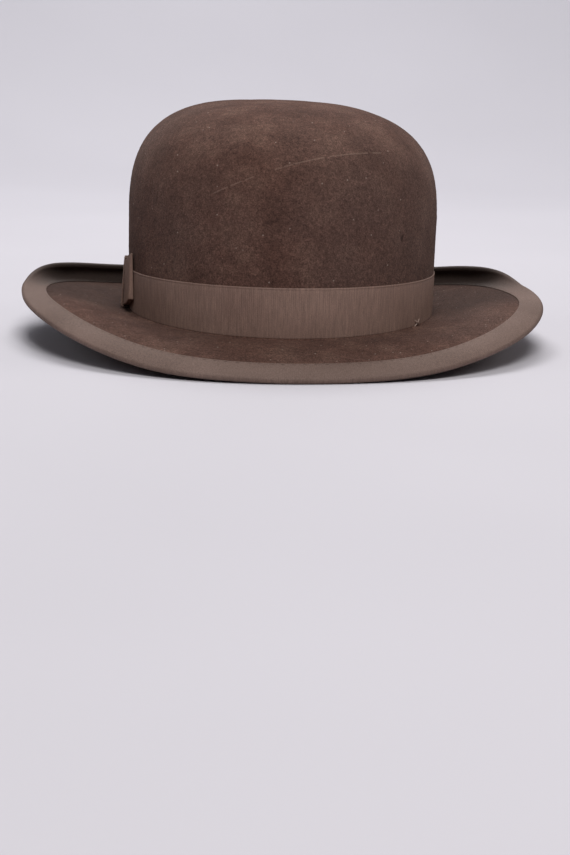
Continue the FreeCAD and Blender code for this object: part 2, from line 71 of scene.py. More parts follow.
CURL_HALF_WIDTH = 131.9
CURL_HALF_LENGTH = 141.3
CURL_EXPONENT = 2.25
CURL_TURN = -5.4
CURL_SHIFT_Y = 3.3
BREAK_SLOPE = -0.02
CURL_HEIGHTS = (1.88, 0.53, 8.06, 0.16, -1.62, 0.31, -0.79)
CURL_SLOPES = (-4.8, 10.5, 1.6, 0, 0, 0, 0)
RIM_SLOPES = (4.1, 48.9, 8.8, 0, 10.4, 2.9, 0)
BACK_ROLL = 108.0
BACK_ROLL_FIRST = 0.12
BACK_ROLL_LAST = 0.5
RIM_ROUND = 0.5

RIBBON = 0.45
BAND_WIDTH = 25.4
BAND_TOP_SIDE_DROP = 1.0
BAND_LIFT = 0.5
BAND_ROUND = 597.0
BINDING_WIDTH = 12.7
BINDING = 0.45
BINDING_GAP = 0.12
BINDING_ROUND = 915.0
GAP = 0.06

BOW_ANGLE = 180.0
BOW_HALF_LENGTH = 29.0
BOW_FOOT = 1.6
BOW_WIDTH = 25.4
BOW_LIFT = 6.7
BOW_OFFSET = 1.15
BOW_LOOP_DEPTH = 1.05
BOW_FLARE = 1.7
KNOT_HALF_WIDTH = 6.0
KNOT_SQUARENESS = 10.0
KNOT_RIBBON = 0.4
KNOT_MARGIN = 0.9
KNOT_PLEATS = 0.12
BOW_RIBS = 62
KNOT_RIBS = 66

LAP_MIDDLE = -18.0
LAP_HALF_LENGTH = 9.0
BINDING_LAP_HALF_LENGTH = 5.0

SWEATBAND_INSET = 2.95
SWEATBAND = 0.9
SWEATBAND_FOOT = 0.8
SWEATBAND_HEIGHT = 44.0
SWEATBAND_LEAN = 1.2
SWEATBAND_GROOVES = (6.5, 41.5)
SWEATBAND_GROOVE = 0.12
SEAM_TAPE_HALF_WIDTH = 5.0
SEAM_TAPE = 0.22
REED_INSET = 3.5
REED_DROP = 0.6
REED_RADIUS = 0.65
CASING_BORE_RADIUS = 0.75
CASING_RADIUS = 1.25
CASING_FIRST = 110.0
CASING_LAST = 430.0
LINING_INSET = 2.25
LINING = 0.3
LINING_FOOT_STATION = 0.12
LINING_JOIN_STATION = 1.5
LINING_JOIN_SEAM = 0.015
PIPING_RADIUS = 0.7
SMALL_RIBBON = 0.25
SMALL_BOW_HALF_LENGTH = 13.0
SMALL_BOW_FOOT = 9.0
SMALL_BOW_WIDTH = 6.0
SMALL_BOW_DEPTH = 1.6
SMALL_KNOT_HALF_WIDTH = 2.0
SMALL_BOW_RIBS = 28
SMALL_KNOT_RIBS = 20
LABEL_DISTANCE = 34.0
LABEL_HALF_LENGTH = 10.0
LABEL_FOOT = 12.0
LABEL_WIDTH = 9.0
LABEL = 0.3

THREAD = 0.2
STITCH = 2.6
STITCH_MARGIN = 0.1
STITCH_DIP = 0.45
BINDING_STITCHES = 160
SWEATBAND_STITCHES = 120
SWEATBAND_STITCH_FOOT = 1.8
SWEATBAND_STITCH_RISE = 2.4
SEAM_STITCHES = 12
TACK_REACH = 1.6
TACK_ANGLES = (15, 50, 90, 135)
CROSSED_TACK_ANGLE = -41.0
CROSSED_TACK_HEIGHT = 0.2
CROSSED_TACK_REACH = 3.6
CROSSED_TACK_THREAD = 0.3
CROSSED_TACK_LIFT = 0.1

NAP_ROUGHNESS = 0.055
RIB_PITCH = 0.95
RIB_HEIGHT = 0.13

# A small dent in the crown, and the arc of a fine scratch across its front.
DENT_ANGLE = -52.6
DENT_HEIGHT = 49.4
DENT_DEPTH = 0.6
DENT_RADIUS = 2.4
SCRATCH_HEIGHT = 0.0895
SCRATCH_SLOPE = 0.25
SCRATCH_BEND = -3.3
SCRATCH_HALF_WIDTH = 0.00035

# The view: the hat's origin lies this far ahead of the camera, right of and above its axis.
VIEW_DISTANCE = 1100.0
VIEW_RIGHT = -2.7
VIEW_UP = 67.05
VIEW_ELEVATION = 11.81
VIEW_TURN = 4.37
VIEW_ROLL = 1.12
SENSOR = 36.0
FOCAL_SHARE = 2.263

# The pale floor and the backdrop that it bends up into.
FLOOR_GAP = 0.3
FLOOR_FRONT = -2000.0
FLOOR_HALF_WIDTH = 2600.0
BACKDROP_Y = 2000.0
BACKDROP_BEND = 1100.0
BACKDROP_HEIGHT = 2600.0


# Shape formulas. Angles and positions are numpy arrays that broadcast together.

def oval_radius(angle, half_x, half_y, exponent=2.0):
    across = np.abs(np.cos(angle) / half_x) ** exponent
    along = np.abs(np.sin(angle) / half_y) ** exponent
    return (across + along) ** (-1.0 / exponent)


def break_height(angle):
    return BREAK_SIDE_RISE * np.cos(2 * angle) - BREAK_FRONT_RISE * np.sin(angle)


def angle_between(angle, other):
    return np.arctan2(np.sin(angle - other), np.cos(angle - other))


def crown_unevenness(angle, height):
    """How far the blocked felt swells or sinks, fading out towards the band."""
    lumps = (0.34 * np.sin(3 * angle + 0.7 + height / 31) + 0.22 * np.sin(5 * angle - height / 17)
             + 0.16 * np.sin(8 * angle + height / 13 + 2.0))
    away = ((angle_between(angle, math.radians(DENT_ANGLE)) * 95) ** 2 + (height - DENT_HEIGHT) ** 2)
    return lumps * np.clip((height - 30) / 25, 0, 1) ** 2 - DENT_DEPTH * np.exp(-away / DENT_RADIUS ** 2)


def tipped(x, y, height):
    """Leans the top of the crown a little down towards the wearer's left."""
    tip = CROWN_TIP * (height / CROWN_HEIGHT) ** 2 * x / CROWN_HALF_WIDTH
    return np.stack(np.broadcast_arrays(x, y, height - tip), -1)


def wall(angle, height, inset=0.0):
    """The crown's wall, from the break up to the shoulder. height is above the break."""
    foot = break_height(angle)
    station = height / (SHOULDER_HEIGHT - foot)
    radius = oval_radius(angle, CROWN_HALF_WIDTH, CROWN_HALF_LENGTH)
    radius = radius * (1 + CROWN_SWELL / CROWN_HALF_WIDTH * np.sin(station * math.pi / 2)) - inset
    level = foot * (1 - station) + SHOULDER_HEIGHT * station
    radius = radius + crown_unevenness(angle, level)
    return tipped(radius * np.cos(angle), radius * np.sin(angle), level)


def dome(angle, turn, inset=0.0):
    """The dome: turn runs from 0 at the shoulder to a right angle at its top."""
    cosine = np.maximum(np.cos(turn), 0.0)
    sine = np.sin(turn)
    size = (cosine ** DOME_EXPONENT + sine ** DOME_EXPONENT) ** (-1 / DOME_EXPONENT)
    radius = oval_radius(angle, CROWN_HALF_WIDTH, CROWN_HALF_LENGTH)
    radius = (radius * (1 + CROWN_SWELL / CROWN_HALF_WIDTH) - inset) * cosine * size
    level = SHOULDER_HEIGHT + (CROWN_HEIGHT - SHOULDER_HEIGHT - inset) * sine * size
    lump = crown_unevenness(angle, level)
    radius = radius + lump * cosine * size
    level = level + lump * sine * (1 - sine ** 8)
    return tipped(radius * np.cos(angle), radius * np.sin(angle), level)


def crown_at(angle, station, inset=0.0):
    """Station 0 is the break, 1 the shoulder and 2 the top of the dome."""
    if station <= 1:
        return wall(angle, station * (SHOULDER_HEIGHT - break_height(angle)), inset)
    turn = (station - 1) * math.pi / 2
    power = 2 / DOME_EXPONENT
    return dome(angle, math.atan2(math.sin(turn) ** power, max(math.cos(turn), 0.0) ** power), inset)


def around(angle, shares):
    """A height or a slope that varies round the hat, by the shares of seven waves."""
    waves = (1, np.sin(angle), np.cos(2 * angle), np.sin(2 * angle), np.sin(3 * angle),
             np.cos(4 * angle), np.cos(6 * angle))
    return sum(share * wave for share, wave in zip(shares, waves))


def rim_slope(angle):
    """The brim's slope at its rim in degrees: the back of it rolls up past upright."""
    share = (np.sin(angle) - BACK_ROLL_FIRST) / (BACK_ROLL_LAST - BACK_ROLL_FIRST)
    share = np.clip(share, 0, 1)
    return around(angle, RIM_SLOPES) + BACK_ROLL * share ** 2 * (3 - 2 * share)


def brim_unevenness(angle, t):
    """Slow waves in the brim's felt, growing towards the rim."""
    waves = 0.3 * np.sin(5 * angle + 0.4) + 0.22 * np.sin(8 * angle + 2.6) + 0.12 * np.sin(13 * angle)
    return waves * (t / 2) ** 2


def brim_top(angle, t):
    """The brim's upper surface: from the break (t = 0) to where the curl starts (t = 1), and
    round the curl's arc to the rim (t = 2)."""
    inner = oval_radius(angle, CROWN_HALF_WIDTH, CROWN_HALF_LENGTH)
    inner_x, inner_y = inner * np.cos(angle), inner * np.sin(angle)
    radius = oval_radius(angle + math.radians(CURL_TURN), CURL_HALF_WIDTH, CURL_HALF_LENGTH, CURL_EXPONENT)
    curl_x = radius * np.cos(angle)
    curl_y = CURL_SHIFT_Y + radius * np.sin(angle)
    curl_z = around(angle, CURL_HEIGHTS)
    reach = np.hypot(curl_x - inner_x, curl_y - inner_y)
    slope = np.radians(around(angle, CURL_SLOPES))
    bend = np.radians(rim_slope(angle)) - slope
    f = np.minimum(t, 1.0)
    height = (break_height(angle) * (2 * f ** 3 - 3 * f ** 2 + 1) + curl_z * (3 * f ** 2 - 2 * f ** 3)
              + BREAK_SLOPE * reach * (f ** 3 - 2 * f ** 2 + f) + np.tan(slope) * reach * (f ** 3 - f ** 2))
    turned = slope + bend * np.maximum(t - 1, 0.0)
    out = reach * f + BINDING_WIDTH / bend * (np.sin(turned) - np.sin(slope))
    height = height - BINDING_WIDTH / bend * (np.cos(turned) - np.cos(slope)) + brim_unevenness(angle, t)
    share = out / reach
    x = inner_x + (curl_x - inner_x) * share
    y = inner_y + (curl_y - inner_y) * share
    return np.stack(np.broadcast_arrays(x, y, height), -1)


def unit(vectors):
    return vectors / np.linalg.norm(vectors, axis=-1, keepdims=True)


def brim(angle, t, depth=0.0, beyond=0.0):
    """A point under the brim's upper surface by depth, or beyond it outward."""
    step = 0.002
    along = brim_top(angle + step, t) - brim_top(angle - step, t)
    outward = brim_top(angle, t + step) - brim_top(angle, t - step)
    up = unit(np.cross(outward, along))
    depth = np.asarray(depth)[..., None]
    beyond = np.asarray(beyond)[..., None]
    return brim_top(angle, t) - up * depth + unit(outward) * beyond


# Mesh building

def mesh_piece(name, points, faces, material, replaces=()):
    """A piece from points in millimetres, with its faces turned outward."""
    mesh = bpy.data.meshes.new(name)
    mesh.from_pydata((np.asarray(points) * MM).tolist(), [], faces)
    shape = bmesh.new()
    shape.from_mesh(mesh)
    bmesh.ops.recalc_face_normals(shape, faces=shape.faces)
    shape.to_mesh(mesh)
    shape.free()
    mesh.polygons.foreach_set("use_smooth", [True] * len(mesh.polygons))
    mesh.materials.append(material)
    piece = bpy.data.objects.new(name, mesh)
    bpy.context.scene.collection.objects.link(piece)
    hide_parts(*replaces)
    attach(piece, "root")
    return piece


def grid_faces(rows, columns, wrap_rows, wrap_columns, first=0):
    faces = []
    for r in range(rows if wrap_rows else rows - 1):
        below = first + r * columns
        above = first + ((r + 1) % rows) * columns
        for c in range(columns if wrap_columns else columns - 1):
            d = (c + 1) % columns
            faces.append((below + c, below + d, above + d, above + c))
    return faces


def ring_piece(name, section, material, replaces):
    """section is an array of rows of points: each row is a ring, and the last row joins the
    first, so that the section is a closed outline."""
    rows, columns = section.shape[:2]
    faces = grid_faces(rows, columns, True, True)
    return mesh_piece(name, section.reshape(-1, 3), faces, material, replaces)


def strip_piece(name, section, material, replaces):
    """As a ring, but each row is open, and the two ends are capped."""
    rows, columns = section.shape[:2]
    faces = grid_faces(rows, columns, True, False)
    faces.append([row * columns for row in range(rows)])
    faces.append([row * columns + columns - 1 for row in range(rows)])
    return mesh_piece(name, section.reshape(-1, 3), faces, material, replaces)


def thread_piece(name, paths, radius, material, replaces):
    """Two-ply threads with closed, tapered ends. paths is a list of rows of points."""
    points = []
    faces = []
    sides = 8
    for path in paths:
        path = np.asarray(path, float)
        count = len(path)
        share = np.linspace(0, 1, count)
        ahead = unit(np.gradient(path, axis=0))
        side = unit(np.cross(ahead, (0.31, 0.52, 0.80)))
        up = np.cross(ahead, side)
        length = np.linalg.norm(np.diff(path, axis=0), axis=1).sum()
        turn = np.arange(sides) * 2 * math.pi / sides
        ply = 1 + 0.13 * np.cos(2 * (turn[None, :] - share[:, None] * length / (radius * 6) * math.pi))
        taper = np.minimum(1, 0.25 + 6 * np.minimum(share, 1 - share))
        size = (radius * 0.94 * ply * taper[:, None])[..., None]
        ring = path[:, None] + size * (side[:, None] * np.cos(turn)[None, :, None]
                                       + up[:, None] * np.sin(turn)[None, :, None])
        first = len(points)
        points.extend(ring.reshape(-1, 3))
        faces.extend(grid_faces(count, sides, False, True, first))
        faces.append([first + c for c in range(sides)])
        faces.append([first + (count - 1) * sides + c for c in range(sides)])
    return mesh_piece(name, points, faces, material, replaces)


def angles(count):
    return np.linspace(0, 2 * math.pi, count, endpoint=False)


def soft_edge(rows=10):
    """Shares across a ribbon and how far its face sinks there, with thinner, rounded edges."""
    inner = [(share, 0.0) for share in np.linspace(0.05, 0.95, rows)]
    return [(0.0, 0.7), (0.006, 0.25), (0.02, 0.0)] + inner + [(0.98, 0.0), (0.994, 0.25), (1.0, 0.7)]


# Materials

class Shader:
    """A small wrapper to build a node material in a few lines."""

    def __init__(self, name, **settings):
        self.material = bpy.data.materials.new(name)
        self.material.use_nodes = True
        self.tree = self.material.node_tree
        self.surface = self.tree.nodes["Principled BSDF"]
        for key, value in settings.items():
            self.surface.inputs[key.replace("_", " ")].default_value = value
        self.place = self.add("ShaderNodeTexCoord").outputs["Object"]

    def add(self, kind, inputs=None, **settings):
        node = self.tree.nodes.new(kind)
        for key, value in settings.items():
            setattr(node, key, value)
        for key, value in (inputs or {}).items():
            self.put(node.inputs[key], value)
        return node

    def put(self, socket, value):
        if isinstance(value, bpy.types.NodeSocket):
            self.tree.links.new(value, socket)
        else:
            socket.default_value = value

    def noise(self, scale, detail, roughness, place=None):
        node = self.add("ShaderNodeTexNoise", {"Vector": place or self.place, "Scale": scale,
                                               "Detail": detail, "Roughness": roughness})
        return node.outputs["Fac"]

    def stretched(self, x, y, z):
        return self.add("ShaderNodeMapping", {"Vector": self.place, "Scale": (x, y, z)}).outputs["Vector"]

    def math(self, operation, a, b=0.0, c=0.0):
        node = self.add("ShaderNodeMath", {0: a, 1: b, 2: c}, operation=operation)
        return node.outputs[0]

    def ramp(self, factor, stops):
        node = self.add("ShaderNodeValToRGB", {"Fac": factor})
        elements = node.color_ramp.elements
        while len(elements) < len(stops):
            elements.new(0.5)
        for element, (position, value) in zip(elements, stops):
            element.position = position
            element.color = value if len(value) == 4 else (*value, 1.0)
        return node.outputs["Color"]

    def fade(self, factor, first, last, start, end):
        """A grey that goes from start to end while the factor goes from first to last."""
        return self.ramp(factor, [(first, grey(start)), (last, grey(end))])

    def mix(self, factor, a, b, blend="MIX"):
        node = self.add("ShaderNodeMix", {"Factor": factor}, data_type="RGBA", blend_type=blend)
        self.put(node.inputs[6], a if isinstance(a, bpy.types.NodeSocket) or len(a) == 4 else (*a, 1.0))
        self.put(node.inputs[7], b if isinstance(b, bpy.types.NodeSocket) or len(b) == 4 else (*b, 1.0))
        return node.outputs[2]

    def color(self, socket):
        self.put(self.surface.inputs["Base Color"], socket)

    def bump(self, *layers):
        """layers are (height socket, strength, distance in metres), one on top of another."""
        normal = None
        for height, strength, distance in layers:
            node = self.add("ShaderNodeBump", {"Height": height, "Strength": strength, "Distance": distance})
            if normal is not None:
                self.put(node.inputs["Normal"], normal)
            normal = node.outputs["Normal"]
        self.put(self.surface.inputs["Normal"], normal)


def shade(red, green, blue):
    """A linear colour from a display colour in 0 to 255."""
    def linear(value):
        value /= 255
        return value / 12.92 if value <= 0.04045 else ((value + 0.055) / 1.055) ** 2.4
    return linear(red), linear(green), linear(blue)


def grey(value):
    return value, value, value


def felt_material():
    shader = Shader("brown_felt", Roughness=0.95, Sheen_Weight=0.07, Sheen_Roughness=0.5,
                    Sheen_Tint=(*shade(206, 182, 168), 1.0), Specular_IOR_Level=0.18)
    mottle = shader.noise(46, 5, 0.6)
    patches = shader.noise(13, 3, 0.5)
    brushed = shader.noise(1.0, 4, 0.6, place=shader.stretched(90, 90, 420))
    fibres = shader.noise(1300, 4, 0.8)
    coarse = shader.noise(480, 5, 0.75)
    base = shader.ramp(mottle, [(0.30, shade(70, 48, 41)), (0.50, shade(84, 60, 52)),
                                (0.72, shade(101, 77, 67))])
    warm = shader.mix(shader.fade(patches, 0.38, 0.66, 0.0, 1.0), base,
                      shader.mix(0.6, base, shade(84, 66, 60)))
    nap = shader.mix(1.0, warm, shader.fade(fibres, 0.32, 0.68, 0.16, 0.84), "OVERLAY")
    nap = shader.mix(0.7, nap, shader.fade(coarse, 0.32, 0.68, 0.25, 0.75), "OVERLAY")
    nap = shader.mix(0.35, nap, shader.fade(brushed, 0.3, 0.7, 0.38, 0.62), "OVERLAY")
    # Painted shade: the brim is made darker towards the back, where the rolled rear curl and the crown shade
    # it.
    low = shader.fade(shader.math("MULTIPLY", place_axis(shader, "Z"), 1 / 0.06), 0.33, 0.45, 1.0, 0.0)
    brim_back_painted_shade = shader.math("MULTIPLY", towards_back(shader, -0.06, 0.0), low)
    nap = shader.mix(brim_back_painted_shade, nap, shader.mix(1.0, nap, grey(0.5), "MULTIPLY"))
    nap = shader.mix(shader.math("MULTIPLY", scratch(shader), 0.2), nap, shade(160, 136, 122))
    # Painted shade: the felt is darkened in the dent.
    nap = shader.mix(shader.math("MULTIPLY", dent_shade(shader), 0.75), nap, shade(38, 24, 20))
    shader.color(shader.mix(shader.math("MULTIPLY", lint(shader), 0.4), nap, shade(184, 166, 154)))
    shader.bump((coarse, 0.5, 0.0006), (fibres, 0.7, 0.0004))
    return shader.material


def place_axis(shader, axis):
    return shader.add("ShaderNodeSeparateXYZ", {"Vector": shader.place}).outputs[axis]


def towards_back(shader, first, last):
    """Goes smoothly from 0 to 1 towards the back, between two places along Y in metres."""
    node = shader.add("ShaderNodeMapRange", {"Value": place_axis(shader, "Y"), "From Min": first,
                                             "From Max": last}, interpolation_type="SMOOTHSTEP")
    return node.outputs["Result"]


def lint(shader):
    """Sparse pale specks of lint, more of them on the brim than on the crown."""
    cells = shader.add("ShaderNodeTexVoronoi", {"Vector": shader.place, "Scale": 300.0})
    low = shader.math("LESS_THAN", place_axis(shader, "Z"), 0.022)
    near = shader.math("LESS_THAN", cells.outputs["Distance"], 0.13)
    share = shader.add("ShaderNodeSeparateColor", {"Color": cells.outputs["Color"]}).outputs["Red"]
    limit = shader.math("SUBTRACT", 0.90, shader.math("MULTIPLY", low, 0.18))
    chosen = shader.math("GREATER_THAN", share, limit)
    return shader.math("MULTIPLY", near, chosen)


def dent_shade(shader):
    """Painted shade in the dent: 1 in its middle, 0 away from it."""
    angle = math.radians(DENT_ANGLE)
    radius = float(oval_radius(angle, CROWN_HALF_WIDTH, CROWN_HALF_LENGTH)) + CROWN_SWELL - DENT_DEPTH
    middle = (radius * math.cos(angle) * MM, radius * math.sin(angle) * MM, DENT_HEIGHT * MM)
    offset = shader.add("ShaderNodeVectorMath", {0: shader.place, 1: middle}, operation="SUBTRACT")
    narrow = shader.add("ShaderNodeMapping", {"Vector": offset.outputs[0], "Scale": (1.0, 1.0, 0.5)})
    away = shader.add("ShaderNodeVectorMath", {0: narrow.outputs["Vector"]}, operation="LENGTH")
    ragged = shader.math("MULTIPLY_ADD", shader.noise(900, 3, 0.6), 0.0016, away.outputs["Value"])
    return shader.fade(shader.math("MULTIPLY", ragged, 1000.0 / 3), 0.5, 0.7, 1.0, 0.0)


def scratch(shader):
    """A fine broken line that arcs over the crown's front."""
    place = shader.add("ShaderNodeSeparateXYZ", {"Vector": shader.place})
    x = place.outputs["X"]
    slope = shader.math("MULTIPLY_ADD", x, SCRATCH_BEND, SCRATCH_SLOPE)
    height = shader.math("MULTIPLY_ADD", x, slope, SCRATCH_HEIGHT)
    away = shader.math("ABSOLUTE", shader.math("SUBTRACT", place.outputs["Z"], height))
    line = shader.math("LESS_THAN", away, SCRATCH_HALF_WIDTH)
    front = shader.math("LESS_THAN", place.outputs["Y"], 0.0)
    inside = shader.math("LESS_THAN", shader.math("ABSOLUTE", shader.math("SUBTRACT", x, 0.003)), 0.045)
    broken = shader.math("GREATER_THAN", shader.noise(160, 2, 0.5), 0.47)
    pieces = shader.math("MULTIPLY", inside, broken)
    return shader.math("MULTIPLY", shader.math("MULTIPLY", line, front), pieces)


def ribbon_material(name, dark, light, sheen, depth=0.0):
    """depth is how much painted shade darkens the ribbon at the back of the hat."""
    shader = Shader(name, Roughness=0.7, Sheen_Weight=sheen, Sheen_Roughness=0.4,
                    Sheen_Tint=(*shade(214, 198, 188), 1.0), Specular_IOR_Level=0.3)
    mottle = shader.noise(24, 3, 0.5)
    streaks = shader.noise(1.0, 2, 0.6, place=shader.stretched(1300, 1300, 90))
    fine = shader.noise(2400, 3, 0.7)
    base = shader.ramp(mottle, [(0.3, dark), (0.7, light)])
    worn = shader.mix(0.45, base, shader.fade(streaks, 0.3, 0.7, 0.3, 0.7), "OVERLAY")
    worn = shader.mix(0.5, worn, shader.fade(fine, 0.3, 0.7, 0.25, 0.75), "OVERLAY")
    # Painted shade: the ribbon is darkened towards the back of the hat, where the rolled rear curl is in
    # shadow.
    back_painted_shade = shader.mix(1.0, worn, grey(1.0 - depth), "MULTIPLY")
    shader.color(shader.mix(towards_back(shader, 0.0, 0.06), worn, back_painted_shade))
    shader.bump((fine, 0.5, 0.0003))
    return shader.material


def plain_material(name, dark, light, roughness, scale, grain, distance):
    """A mottled material with a fine grain, for leather, thread, tape and cane."""
    shader = Shader(name, Roughness=roughness, Specular_IOR_Level=0.35)
    mottle = shader.noise(scale, 5, 0.6)
    fine = shader.noise(grain, 4, 0.65)
    base = shader.ramp(mottle, [(0.3, dark), (0.7, light)])
    shader.color(shader.mix(0.35, base, shader.fade(fine, 0.3, 0.7, 0.32, 0.68), "OVERLAY"))
    shader.bump((fine, 0.5, distance))
    return shader.material


def satin_material():
    shader = Shader("lining_satin", Roughness=0.32, Specular_IOR_Level=0.55, Anisotropic=0.6,
                    Sheen_Weight=0.2, Sheen_Roughness=0.3)
    mottle = shader.noise(30, 4, 0.5)
    threads = shader.noise(1.0, 2, 0.5, place=shader.stretched(1400, 1400, 160))
    base = shader.ramp(mottle, [(0.3, shade(92, 76, 62)), (0.7, shade(112, 95, 79))])
    shader.color(shader.mix(0.3, base, shader.fade(threads, 0.3, 0.7, 0.38, 0.62), "OVERLAY"))
    shader.bump((threads, 0.25, 0.0002))
    return shader.material


# Felt body

def felt_body(material):
    """Crown and brim, one hood of felt: the rows run from the top of the dome down the outside,
    over the brim, round the rim, back under it and up the inside."""
    around_hat = angles(900)
    quarter = math.pi / 2
    chance = np.random.default_rng(7)

    def at(value):
        return np.full_like(around_hat, value)

    def nap():
        return chance.normal(0, NAP_ROUGHNESS, len(around_hat))

    turns = np.linspace(quarter, 0, 110)[1:]
    rows = [dome(around_hat, turn, nap() * math.cos(turn)) for turn in turns]
    level = 1 - break_height(around_hat) / SHOULDER_HEIGHT
    heights = np.linspace(SHOULDER_HEIGHT, BREAK_ROUND, 56)[1:]
    rows += [wall(around_hat, height * level, nap()) for height in heights]
    start = rows[-1]
    corner = wall(around_hat, at(0.0))
    first = BREAK_ROUND / MEAN_BRIM_REACH
    end = brim(around_hat, at(first))
    for share in np.linspace(0, 1, 7)[1:-1]:
        rows.append(start * (1 - share) ** 2 + corner * 2 * share * (1 - share) + end * share ** 2)
    rows += [brim(around_hat, at(t), nap()) for t in np.linspace(first, 2, 100)]
    for share in np.linspace(0, 1, 7)[1:-1]:
        rows.append(brim(around_hat, at(2.0), FELT * share, RIM_ROUND * math.sin(share * math.pi)))
    rows += [brim(around_hat, at(t), FELT) for t in np.linspace(2, first, 60)]
    heights = np.linspace(FELT_INNER_FOOT, SHOULDER_HEIGHT, 20)
    rows += [wall(around_hat, height * level, FELT) for height in heights]
    rows += [dome(around_hat, turn, FELT) for turn in np.linspace(0, quarter, 40)[1:-1]]
    section = np.stack(rows)
    count, columns = section.shape[:2]
    faces = grid_faces(count, columns, False, True)
    tops = [dome(0.0, quarter).reshape(1, 3), dome(0.0, quarter, FELT).reshape(1, 3)]
    points = np.vstack([section.reshape(-1, 3)] + tops)
    top = count * columns
    last = top - columns
    for c in range(columns):
        d = (c + 1) % columns
        faces.append((top, d, c))
        faces.append((last + c, last + d, top + 1))
    return mesh_piece("felt", points, faces, material, ["felt_crown", "felt_brim"])


# Ribbons: grosgrain with rounded ribs across its width

def rib_heights(share, count):
    """The ribs' heights at shares of a ribbon's length with this many ribs."""
    return RIB_HEIGHT * (np.abs(np.sin(share * count * math.pi)) - 0.6)


def ribbed_ring(length, steps):
    """Angles round the hat, and the ribs' heights there, with this many steps to a rib."""
    count = int(round(length / RIB_PITCH))
    around_hat = angles(count * steps)
    return around_hat, rib_heights(around_hat / (2 * math.pi), count)


def band_top(angle):
    return BAND_WIDTH - BAND_TOP_SIDE_DROP * np.cos(2 * angle) - break_height(angle)


def hat_band(material):
    around_hat, rib = ribbed_ring(BAND_ROUND, 5)
    rib = rib * (1 + 0.25 * np.sin(7 * around_hat) * np.sin(23 * around_hat))
    span = band_top(around_hat) - BAND_LIFT
    # Shares of the width, how far the face stands out there, and how much of the ribs it keeps.
    foot = [(0, -0.2, 0.2), (0.012, 0.03, 0.2), (0.03, 0, 0.6)]
    middle = [(share, 0, 1) for share in np.linspace(0.06, 0.94, 12)]
    head = [(0.957, -0.06, 0.3), (0.968, 0.06, 0.2), (0.98, 0.12, 0.2), (0.992, 0.08, 0.2), (1, -0.16, 0.2)]
    rows = [wall(around_hat, BAND_LIFT + span * share, -(GAP + RIBBON + edge + rib * flat))
            for share, edge, flat in foot + middle + head]
    rows += [wall(around_hat, BAND_LIFT + span * share, -GAP) for share in (1.0, 0.6, 0.3, 0.0)]
    piece = ring_piece("band", np.stack(rows), material, ["hat_band"])


def band_lap(material):
    """The band's free end, lapped over its start under the bow's rear loop."""
    inner = 2 * GAP + RIBBON
    count = int(round(2 * LAP_HALF_LENGTH / RIB_PITCH))
    along = np.linspace(0, 1, count * 6 + 1)
    rib = rib_heights(along, count)
    distance = LAP_MIDDLE + LAP_HALF_LENGTH * (2 * along - 1)
    span = band_top(math.radians(BOW_ANGLE)) - BAND_LIFT
    rows = [side_point(distance, inner + RIBBON * (1 - sink) + rib * (1 - sink), BAND_LIFT + span * share)
            for share, sink in soft_edge()]
    rows += [side_point(distance, inner, BAND_LIFT + span * share) for share in (1.0, 0.5, 0.0)]
    strip_piece("band_lap", np.stack(rows), material, ["hat_band_lap"])


def binding(angle, path, lift):
    """path runs 0 to 1 outward over the brim, to 2 round the rim and to 3 back under it."""
    if path <= 1:
        return brim(angle, np.full_like(angle, 1 + path), -lift)
    if path <= 2:
        share = path - 1
        return brim(angle, np.full_like(angle, 2.0), (FELT + 2 * lift) * share - lift,
                    (RIM_ROUND + lift) * math.sin(share * math.pi))
    return brim(angle, np.full_like(angle, 4 - path), FELT + lift)


def brim_binding(material):
    around_hat, rib = ribbed_ring(BINDING_ROUND, 4)
    rib = rib * 0.9
    gap = np.full_like(around_hat, BINDING_GAP)
    over = [0.0, 0.015, 0.04] + list(np.linspace(0.1, 1.0, 13))
    rows = []
    for path in over + list(np.linspace(1.12, 1.88, 7)) + [3 - path for path in over[::-1]]:
        edge = 0.25 if path in (0.0, 3.0) else 0.0
        rows.append(binding(around_hat, path, BINDING_GAP + BINDING - edge + rib))
    for path in np.linspace(3.0, 0.0, 13):
        rows.append(binding(around_hat, path, gap))
    piece = ring_piece("rim_binding", np.stack(rows), material, ["brim_binding"])


def binding_lap(material):
    """The binding's free end, turned over its start at the back of the brim."""
    inner = 2 * BINDING_GAP + BINDING
    half = BINDING_LAP_HALF_LENGTH / CURL_HALF_LENGTH
    count = int(round(2 * BINDING_LAP_HALF_LENGTH / RIB_PITCH))
    along = np.linspace(0, 1, count * 6 + 1)
    rib = rib_heights(along, count)
    angle = math.pi / 2 + half * (2 * along - 1)
    rows = [binding(angle, share, inner + BINDING * (1 - sink) + rib * (1 - sink))
            for share, sink in soft_edge()]
    rows += [binding(angle, share, np.full_like(angle, inner)) for share in (1.0, 0.75, 0.5, 0.25, 0.0)]
    strip_piece("binding_lap_end", np.stack(rows), material, ["binding_lap"])


# Bow

def side_point(distance, offset, height):
    """By the crown's wall at the wearer's right: distance towards the front, offset off the
    felt, and height above the break."""
    angle = math.radians(BOW_ANGLE) + distance / (CROWN_HALF_WIDTH + offset)
    return wall(angle, height, -offset)


def bow_flare(offset, v):
    """How much further a point stands off the crown, the more the lower it is in the bow."""
    return BOW_FLARE * (1 - v) * np.maximum(0.0, offset - BOW_OFFSET) / BOW_LOOP_DEPTH


def bow_foot(direction, distance):
    lift = BOW_LIFT if direction > 0 else 0.0
    return BOW_FOOT + lift * (distance / BOW_HALF_LENGTH) ** 2


def loop_path(first, last, near, depth, thickness, share):
    """Distances and offsets round a flat closed loop with round ends, at shares of its length."""
    radius = depth / 2
    run = last - first - 2 * radius
    gone = share * (2 * run + 2 * math.pi * radius)
    size = radius - thickness
    end_turn = np.clip((gone - run) / radius, 0, math.pi)
    back = np.clip(gone - run - math.pi * radius, 0, run)
    start_turn = np.clip((gone - 2 * run - math.pi * radius) / radius, 0, math.pi)
    distance = first + radius + np.minimum(gone, run) - back + size * (np.sin(end_turn) - np.sin(start_turn))
    offset = near + radius - size * np.cos(end_turn) * np.cos(start_turn)
    return distance, offset


